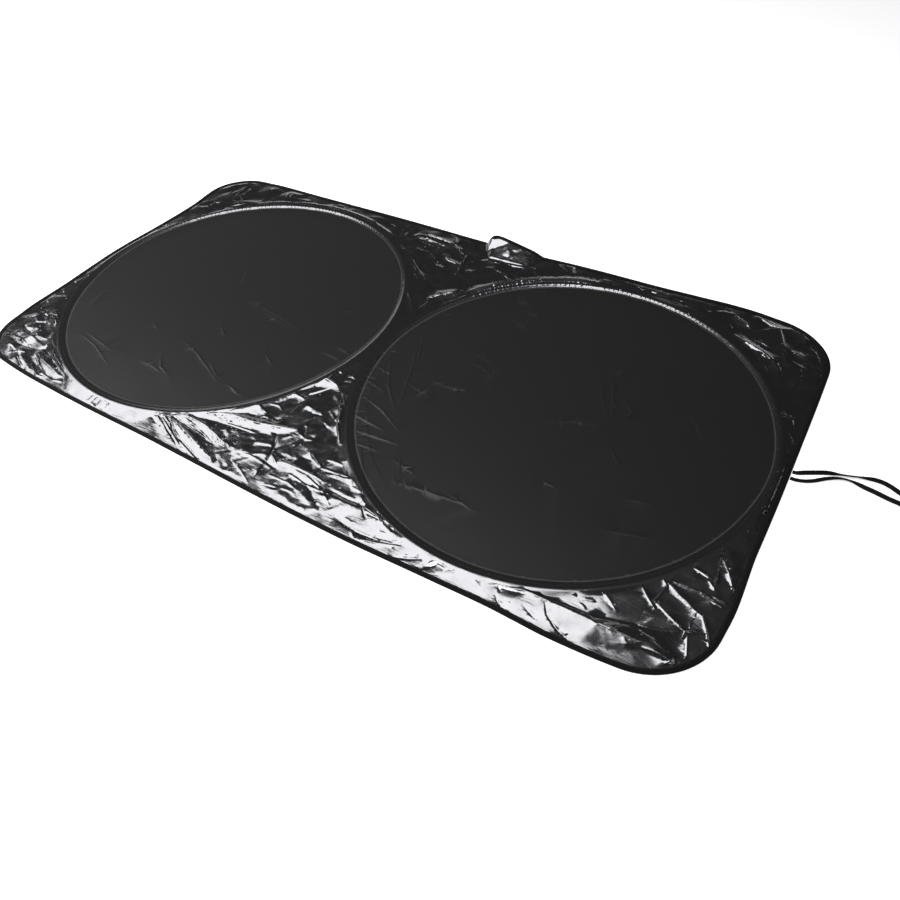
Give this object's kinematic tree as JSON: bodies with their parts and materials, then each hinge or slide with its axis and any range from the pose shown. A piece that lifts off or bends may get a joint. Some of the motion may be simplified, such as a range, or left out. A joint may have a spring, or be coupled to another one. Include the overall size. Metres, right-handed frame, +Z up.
{
  "type": "car sunshade",
  "caption": "Folding windscreen sunshade opened out flat: a creased sheet of coated cloth over spring-steel hoops, with a bound edge and an elastic strap at one end.",
  "frame": {"origin": "middle of the opened sheet, on the surface that it lies on", "axes": "+X along the sheet towards the strap end, +Z up from the surface"},
  "size_m": [1.7105, 0.8134, 0.0266],
  "materials": {
    "coated_cloth": "thin black coated polyester, glossy where creased and matte where taut",
    "binding_tape": "matte black woven tape",
    "spring_steel": "plain spring-steel wire",
    "casing_tape": "matte black woven tape",
    "elastic": "matte black ribbed elastic"
  },
  "bodies": {
    "root": {"panel": "coated_cloth", "edge_binding": "binding_tape", "hoop_left": "spring_steel", "hoop_right": "spring_steel", "hoop_casing_left": "casing_tape", "hoop_casing_right": "casing_tape", "strap": "elastic"}
  },
  "joints": []
}
